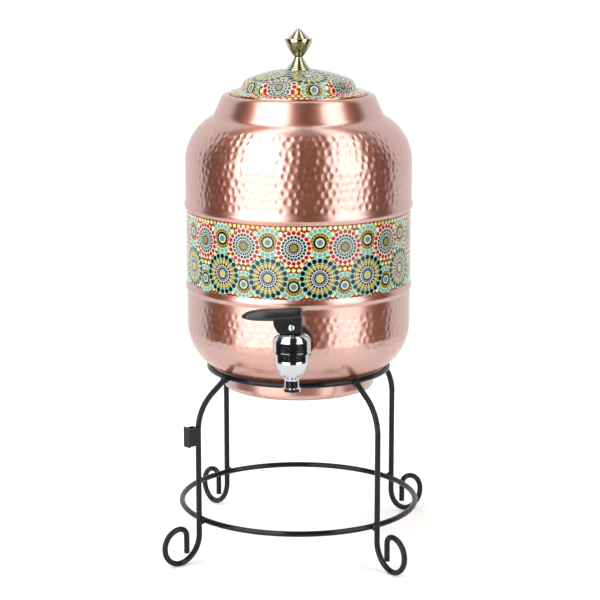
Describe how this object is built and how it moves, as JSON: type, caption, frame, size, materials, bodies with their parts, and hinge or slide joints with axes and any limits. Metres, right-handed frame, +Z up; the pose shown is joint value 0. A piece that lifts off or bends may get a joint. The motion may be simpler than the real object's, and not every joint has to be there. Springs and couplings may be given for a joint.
{
  "type": "water dispenser",
  "caption": "Round copper water pot with a printed band, a domed lid with a turned knob and a lever tap, on a rod wire stand with scrolled feet.",
  "frame": {"origin": "on the floor under the pot's axis", "axes": "+Z up along the pot's axis, -Y towards the tap, +X to the right of the tap seen from the front"},
  "size_m": [0.2324, 0.2699, 0.4681],
  "materials": {
    "copper": "satin, hammered",
    "printed_film": "gloss print",
    "nickel_brass": "polished",
    "chrome_plate": "mirror",
    "black_moulding": "semi-gloss",
    "black_rubber": "matt",
    "silicone": "matt, translucent",
    "steel": "drawn",
    "white_nylon": "matt",
    "coated_rod": "semi-gloss powder coat"
  },
  "bodies": {
    "stand": {"top_ring": "coated_rod", "lower_ring": "coated_rod", "leg_front_left": "coated_rod", "leg_front_right": "coated_rod", "leg_back_right": "coated_rod", "leg_back_left": "coated_rod", "upper_welds": "coated_rod", "lower_welds": "coated_rod", "holder_socket": "coated_rod", "socket_weld": "coated_rod"},
    "vessel": {"lower_shell": "copper", "upper_shell": "copper", "printed_band": "printed_film", "tap_body": "chrome_plate", "tap_bonnet": "chrome_plate", "bonnet_seal": "black_rubber", "outer_washer": "black_rubber", "inner_washer": "black_rubber", "tap_nut": "white_nylon", "valve_spring": "steel"},
    "plunger": {"seat_cup": "silicone"},
    "stem": {"valve_stem": "steel", "lever_pin": "chrome_plate"},
    "lever": {"lever_handle": "black_moulding"},
    "lid": {"lid_shell": "copper", "lid_print": "printed_film", "lid_collar": "copper", "lid_knob": "nickel_brass", "knob_screw": "steel", "knob_washer": "steel"}
  },
  "joints": [
    {"name": "pot_lift", "type": "slide", "parent": "stand", "child": "vessel", "axis": [0, 0, 1], "range_m": [0, 0.12]},
    {"name": "lid_lift", "type": "slide", "parent": "vessel", "child": "lid", "axis": [0, 0, 1], "range_m": [0, 0.08]},
    {"name": "valve_lift", "type": "slide", "parent": "vessel", "child": "plunger", "axis": [0, 0, 1], "range_m": [0, 0.0037], "deforming": ["valve_spring"]},
    {"name": "lever_swivel", "type": "hinge", "parent": "plunger", "child": "stem", "pos_m": [0, -0.1371, 0.2066], "axis": [0, 0, 1], "range_deg": [-30, 210]},
    {"name": "lever_tilt", "type": "hinge", "parent": "stem", "child": "lever", "pos_m": [0, -0.1371, 0.2301], "axis": [0, -1, 0], "range_deg": [0, 30], "stiffness_Nm_per_rad": 0.08, "springref_deg": -22.92}
  ],
  "couplings": [
    {"joint": "valve_lift", "follows": "lever_tilt", "m_per_rad": 0.007}
  ]
}
